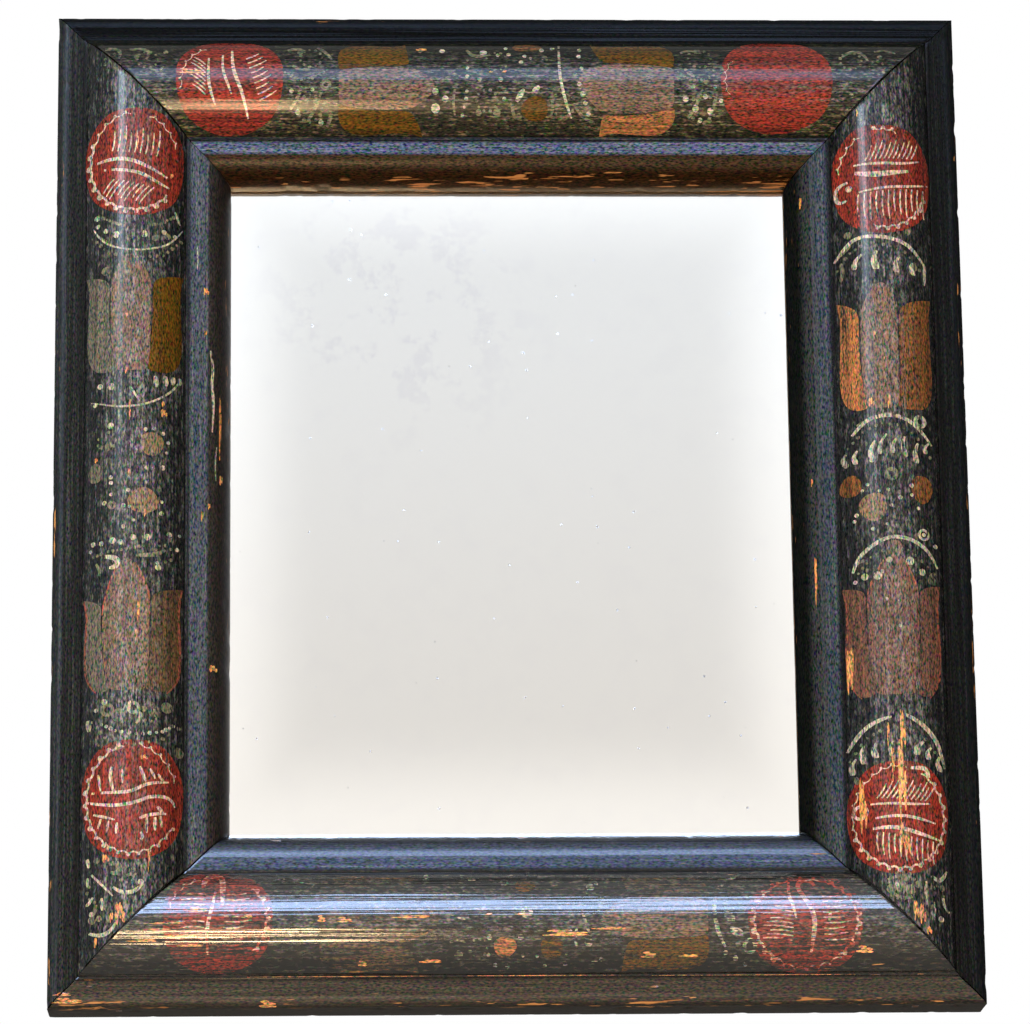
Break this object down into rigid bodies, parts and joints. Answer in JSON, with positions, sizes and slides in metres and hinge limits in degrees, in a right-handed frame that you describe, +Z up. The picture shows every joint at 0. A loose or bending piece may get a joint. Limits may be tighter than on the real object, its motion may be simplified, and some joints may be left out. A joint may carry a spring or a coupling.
{
  "type": "courting mirror",
  "caption": "Upright wall mirror in a wide mitred frame with a rounded, folk-painted black moulding, old silvered glass, nailed pine backboards and a hanging ring.",
  "frame": {"origin": "middle of the hanging ring as it hangs, behind the back of the top rail", "axes": "+Z up the mirror, +X to the right seen from the front, +Y to the wall, so that the glass faces -Y"},
  "size_m": [0.368, 0.0451, 0.41],
  "materials": {
    "painted_pine": "worn black paint on pine with painted ornament under old varnish",
    "plate_glass": "old flat glass",
    "silvering": "aged reflecting layer with specks",
    "bare_pine": "unfinished pine",
    "back_pine": "unfinished pine, darkened by age",
    "iron": "dark rusted iron"
  },
  "bodies": {
    "mirror_frame": {"top_rail": "painted_pine", "bottom_rail": "painted_pine", "left_stile": "painted_pine", "right_stile": "painted_pine", "mirror_glass": "plate_glass", "silvering": "silvering", "glass_blocks_top": "bare_pine", "glass_blocks_bottom": "bare_pine", "glass_blocks_left": "bare_pine", "glass_blocks_right": "bare_pine", "backboard_left": "back_pine", "backboard_right": "back_pine", "backboard_nails": "iron", "corner_nails_top_left": "iron", "corner_nails_top_right": "iron", "corner_nails_bottom_left": "iron", "corner_nails_bottom_right": "iron", "hanger_eye": "iron"},
    "loose_ring": {"hanger_ring": "iron"}
  },
  "joints": [
    {"name": "ring_swing", "type": "hinge", "parent": "mirror_frame", "child": "loose_ring", "pos_m": [0, 0, 0.0095], "axis": [1, 0, 0], "range_deg": [-6, 186]}
  ]
}
